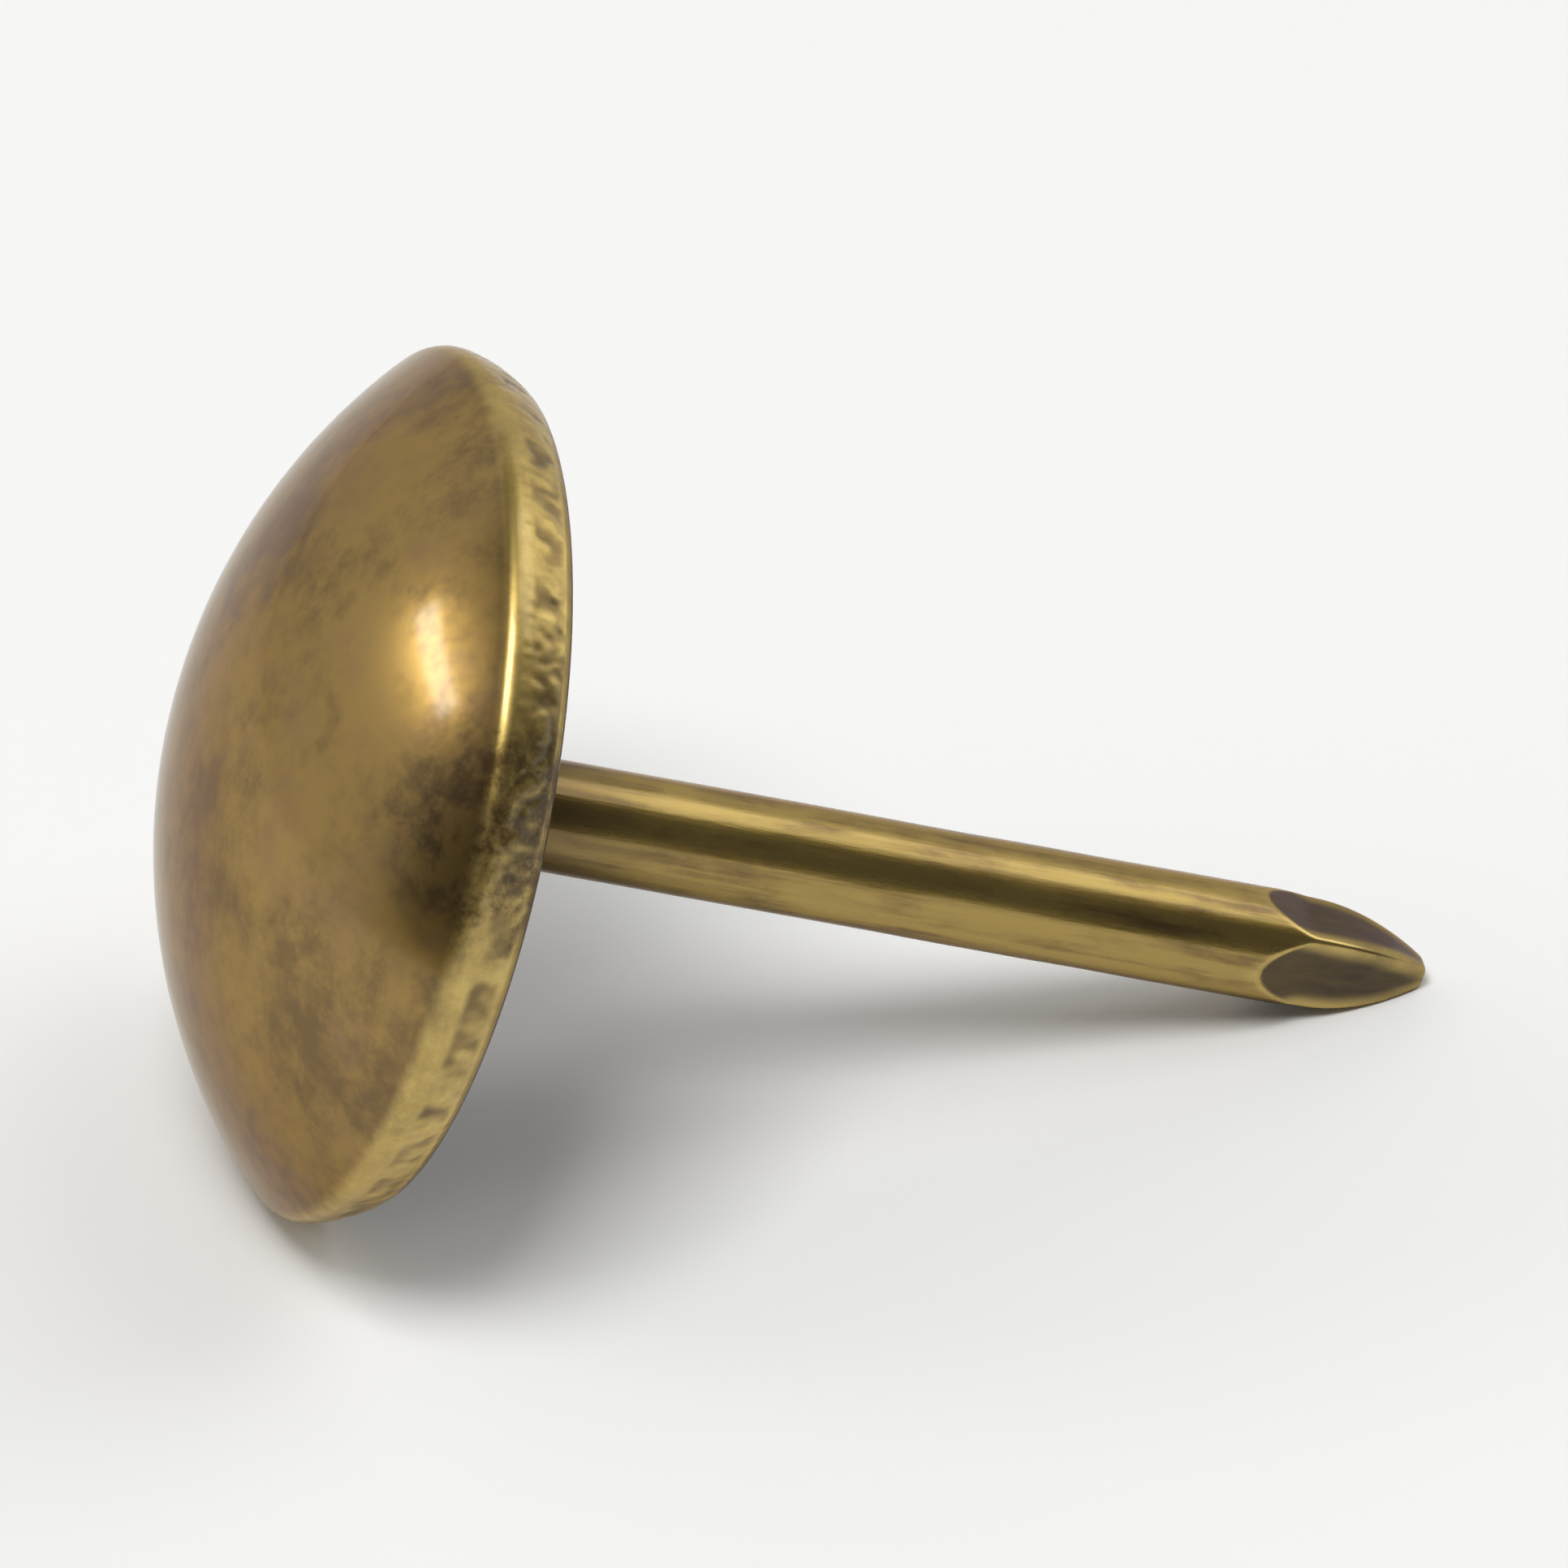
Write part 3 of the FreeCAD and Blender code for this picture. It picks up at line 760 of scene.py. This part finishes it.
def under_finish(sizes, finish):
    """Blackened brass: the hollow keeps the bath's near-black film, because tumbling can't reach it.

    The eye sees a glossy dark hollow, brown clouds in it, and a ring with scored lines and a rubbed lip.
    """
    material, tree = new_material("Blackened Brass, Hollow")
    points = surface_points(tree, sizes)
    mottle = noise(tree, points, 0.6, 5.0, 0.65, 0.4)
    tone = add(tree, "ShaderNodeMapRange", {0: mottle, 1: 0.45, 2: 0.75, 4: 0.3})
    colour = add(
        tree, "ShaderNodeMix", {"Factor": tone, "A": [*finish.black, 1], "B": [*finish.umber, 1]},
        data_type="RGBA",
    )
    axes = add(tree, "ShaderNodeSeparateXYZ", {0: points}).node.outputs
    flat = add(tree, "ShaderNodeCombineXYZ", {"X": axes["X"], "Y": axes["Y"]})
    across = add(tree, "ShaderNodeVectorMath", {0: flat}, operation="LENGTH").node.outputs["Value"]
    low, fade = (sizes.lip_round - sizes.band_height) / MM, 0.03
    ring = add(
        tree, "ShaderNodeMapRange", {0: axes["Z"], 1: low, 2: low - fade},
        interpolation_type="SMOOTHSTEP",
    )
    spokes = add(tree, "ShaderNodeVectorMath", {0: flat}, operation="NORMALIZE")
    spokes = noise(tree, spokes, 0.012, 2.0, 0.6)
    scored = add(tree, "ShaderNodeMapRange", {0: spokes, 1: 0.4, 2: 0.7, 4: 0.8})
    scored = add(tree, "ShaderNodeMath", {0: scored, 1: ring}, operation="MULTIPLY")
    colour = add(
        tree, "ShaderNodeMix", {"Factor": scored, "A": colour, "B": [*finish.brown, 1]}, data_type="RGBA"
    )
    lip_out, lip_width = (lower_ring(sizes) - sizes.rim_face_width) / MM, 0.05
    lip = add(tree, "ShaderNodeMath", {0: across, 1: lip_out, 2: lip_width}, operation="COMPARE")
    rubbed = add(tree, "ShaderNodeMapRange", {0: mottle, 1: 0.35, 2: 0.6, 3: 0.3, 4: 0.9})
    lip = add(tree, "ShaderNodeMath", {0: lip, 1: rubbed}, operation="MULTIPLY")
    colour = add(
        tree, "ShaderNodeMix", {"Factor": lip, "A": colour, "B": [*finish.golden, 1]}, data_type="RGBA"
    )
    grain = noise(tree, points, 0.06, 3.0, 0.6)
    dull = add(tree, "ShaderNodeMapRange", {0: mottle, 1: 0.3, 2: 0.7, 3: 0.3, 4: 0.4})
    finish_surface(tree, colour, dull, felt(tree, grain, 0.002 * MM))
    return material


def wire_finish(sizes, finish):
    """Drawn brass wire: yellower than the head, with long draw lines and pinched facets left dark.

    The eye sees gold and brown lines along the shank, dark facets, bright ridges and a dark root: umber
    patina with painted shade under the head.
    """
    material, tree = new_material("Drawn Brass Wire, Antiqued")
    points = surface_points(tree, sizes)
    lines = noise(tree, points, 0.16, 4.0, 0.6, squash=(1, 1, 0.06))
    mottle = noise(tree, points, 0.7, 5.0, 0.6, 0.4, squash=(1, 1, 0.5))
    tone = add(tree, "ShaderNodeMix", {"Factor": 0.5, "A": lines, "B": mottle}, data_type="FLOAT")
    tone = add(tree, "ShaderNodeMapRange", {0: tone, 1: 0.32, 2: 0.56}, interpolation_type="SMOOTHSTEP")
    colour = add(
        tree, "ShaderNodeMix", {"Factor": tone, "A": [*finish.brown, 1], "B": [*finish.wire, 1]},
        data_type="RGBA",
    )
    # Heights in millimetres between which the dark root comes in: umber patina with painted shade under
    # the head.
    patina_and_shade_begins, patina_and_shade_whole = -4.0, -1.4
    up = add(tree, "ShaderNodeSeparateXYZ", {0: points}).node.outputs["Z"]
    # Umber towards the shank's root: patina, and painted shade where the head hangs over it.
    root = add(
        tree, "ShaderNodeMapRange", {0: up, 1: patina_and_shade_begins, 2: patina_and_shade_whole, 4: 0.9},
        interpolation_type="SMOOTHSTEP",
    )
    colour = add(
        tree, "ShaderNodeMix", {"Factor": root, "A": colour, "B": [*finish.umber, 1]}, data_type="RGBA"
    )
    facet = named_value(tree, "facet")
    facet = add(tree, "ShaderNodeMath", {0: facet, 1: 0.85}, operation="MULTIPLY")
    colour = add(
        tree, "ShaderNodeMix", {"Factor": facet, "A": colour, "B": [*finish.black, 1]}, data_type="RGBA"
    )
    worn = add(tree, "ShaderNodeMapRange", {0: mottle, 1: 0.35, 2: 0.6, 3: 0.4, 4: 0.85})
    ridge = add(tree, "ShaderNodeMath", {0: named_value(tree, "ridge"), 1: worn}, operation="MULTIPLY")
    colour = add(
        tree, "ShaderNodeMix", {"Factor": ridge, "A": colour, "B": [*finish.relieved, 1]},
        data_type="RGBA",
    )
    grain = noise(tree, points, 0.05, 3.0, 0.6, squash=(1, 1, 0.1))
    dull = add(tree, "ShaderNodeMapRange", {0: lines, 1: 0.35, 2: 0.65, 3: 0.32, 4: 0.24})
    finish_surface(tree, colour, dull, felt(tree, grain, 0.002 * MM))
    return material


class TACK_OT_body(bpy.types.Operator):
    """Build the tack: head, shank and point in one piece"""

    bl_idname = "tack.body"
    bl_label = "Tack"

    def execute(self, context):
        sizes, finish = context.scene.tack_sizes, context.scene.tack_finish
        finishes = {
            "head": head_finish(sizes, finish),
            "under": under_finish(sizes, finish),
            "wire": wire_finish(sizes, finish),
        }
        tack = plain_mesh(section_object(sizes), tack_inputs(sizes, finishes))
        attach(tack, "root")
        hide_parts(NODE)
        return {"FINISHED"}


def paper_material(paper):
    """White card: matte, with the faint unevenness of uncoated paper."""
    material, tree = new_material("White Card")
    points = add(tree, "ShaderNodeTexCoord").node.outputs["Object"]
    spread = add(tree, "ShaderNodeVectorMath", {0: points, "Scale": 1 / MM}, operation="SCALE")
    fibre = noise(tree, spread, 0.25, 4.0, 0.6)
    shade = add(tree, "ShaderNodeMapRange", {0: fibre, 3: 0.0, 4: 0.03})
    colour = add(
        tree, "ShaderNodeMix", {"Factor": shade, "A": [*paper, 1], "B": [*linear("#E4E4E2"), 1]},
        data_type="RGBA",
    )
    card = add(
        tree, "ShaderNodeBsdfPrincipled",
        {"Base Color": colour, "Roughness": 0.8, "Specular IOR Level": 0.2},
    )
    add(tree, "ShaderNodeOutputMaterial", {"Surface": card})
    return material


def build_floor(settings):
    """A round sheet of white card, large enough to fill every view."""
    radius, sides = 3.0, 64
    turns = [math.tau * i / sides for i in range(sides)]
    rim = [(radius * math.cos(turn), radius * math.sin(turn), 0) for turn in turns]
    mesh = bpy.data.meshes.new("floor")
    mesh.from_pydata(rim, [], [range(sides)])
    floor = bpy.data.objects.new("floor", mesh)
    mesh.materials.append(paper_material(settings.paper))
    bpy.context.scene.collection.objects.link(floor)


def away(azimuth, elevation):
    """The direction from the tack to a light at this turn from +X and this height, in degrees."""
    turn, height = math.radians(azimuth), math.radians(elevation)
    flat = math.cos(height)
    return Vector((math.cos(turn) * flat, math.sin(turn) * flat, math.sin(height)))


def softbox(name, direction, distance, width, height, level, target):
    """A rectangular light of a given radiance that faces the tack."""
    data = bpy.data.lights.new(name, "AREA")
    data.shape = "RECTANGLE"
    data.size = width
    data.size_y = height
    data.energy = level * math.pi * width * height
    light = bpy.data.objects.new(name, data)
    light.location = target + direction * distance
    light.rotation_euler = direction.to_track_quat("Z", "Y").to_euler()
    bpy.context.scene.collection.objects.link(light)


def build_lights(settings, target):
    """A softbox overhead, a broad one high on the right, and a narrow strip on the left."""
    softbox("overhead softbox", away(236, 70), 1.2, 0.52, 0.52, settings.key_level, target)
    softbox("right softbox", away(12, 51), 1.3, 0.8, 1.0, settings.fill_level, target)
    softbox("left strip", away(164, 35), 1.0, 0.36, 0.075, settings.strip_level, target)


def build_world(settings):
    """Pale walls behind and beside the tack, and the dim room above it and on the camera's side."""
    world = bpy.data.worlds.new("studio")
    world.use_nodes = True
    tree = world.node_tree
    tree.nodes.clear()
    direction = add(tree, "ShaderNodeTexCoord")
    axes = add(tree, "ShaderNodeSeparateXYZ", {0: direction}).node.outputs
    behind = add(
        tree, "ShaderNodeMapRange", {0: axes["Y"], 1: -0.26, 2: 0.08}, interpolation_type="SMOOTHSTEP"
    )
    below = add(
        tree, "ShaderNodeMapRange", {0: axes["Z"], 1: 0.85, 2: 0.6}, interpolation_type="SMOOTHSTEP"
    )
    wall = add(tree, "ShaderNodeMath", {0: behind, 1: below}, operation="MULTIPLY")
    level = add(tree, "ShaderNodeMapRange", {0: wall, 3: settings.room_level, 4: settings.wall_level})
    light = add(tree, "ShaderNodeBackground", {"Color": (1, 1, 1, 1), "Strength": level})
    add(tree, "ShaderNodeOutputWorld", {"Surface": light})
    bpy.context.scene.world = world


def build_camera(settings, target):
    """A long lens at the photograph's angle, rolled a little, as the picture is."""
    turn, height = settings.azimuth, settings.elevation
    flat = math.cos(height)
    back = Vector((math.sin(turn) * flat, -math.cos(turn) * flat, math.sin(height)))
    right = Vector((math.cos(turn), math.sin(turn), 0))
    axes = Matrix((right, back.cross(right), back)).transposed()
    data = bpy.data.cameras.new("camera")
    data.lens = data.sensor_width * settings.distance / settings.frame_width
    data.clip_start = settings.distance / 10
    camera = bpy.data.objects.new("camera", data)
    camera.rotation_euler = (axes @ Matrix.Rotation(settings.roll, 3, "Z")).to_euler()
    aim = target - back.cross(right) * settings.drop
    camera.location = aim + back * settings.distance
    bpy.context.scene.collection.objects.link(camera)
    bpy.context.scene.camera = camera


class TACK_OT_studio(bpy.types.Operator):
    """Build the floor, the lights, the world and the camera"""

    bl_idname = "tack.studio"
    bl_label = "Studio"

    def execute(self, context):
        settings = context.scene.tack_studio
        low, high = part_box(NODE)
        target = (low + high) / 2
        build_floor(settings)
        build_lights(settings, target)
        build_world(settings)
        build_camera(settings, target)
        context.scene.view_settings.view_transform = "Standard"
        return {"FINISHED"}


class TACK_PT_sidebar(bpy.types.Panel):
    """Builds the tack and its studio"""

    bl_idname = "TACK_PT_sidebar"
    bl_label = "Upholstery Tack"
    bl_space_type = "VIEW_3D"
    bl_region_type = "UI"
    bl_category = "Tack"

    def draw(self, context):
        for group in (context.scene.tack_sizes, context.scene.tack_finish, context.scene.tack_studio):
            for name in group.__annotations__:
                self.layout.prop(group, name)
        self.layout.operator(TACK_OT_body.bl_idname)
        self.layout.operator(TACK_OT_studio.bl_idname)


CLASSES = (TackSizes, TackFinish, StudioSettings, TACK_OT_body, TACK_OT_studio, TACK_PT_sidebar)
GROUPS = {"tack_sizes": TackSizes, "tack_finish": TackFinish, "tack_studio": StudioSettings}


def register():
    """Add the classes, and the groups of settings that each scene keeps."""
    for each in CLASSES:
        bpy.utils.register_class(each)
    for name, group in GROUPS.items():
        setattr(bpy.types.Scene, name, PointerProperty(type=group))


def unregister():
    """Take away what register added."""
    for name in GROUPS:
        delattr(bpy.types.Scene, name)
    for each in reversed(CLASSES):
        bpy.utils.unregister_class(each)


def main():
    """Build the tack and the studio."""
    register()
    bpy.ops.tack.body()
    bpy.ops.tack.studio()


if __name__ == "__main__":
    main()
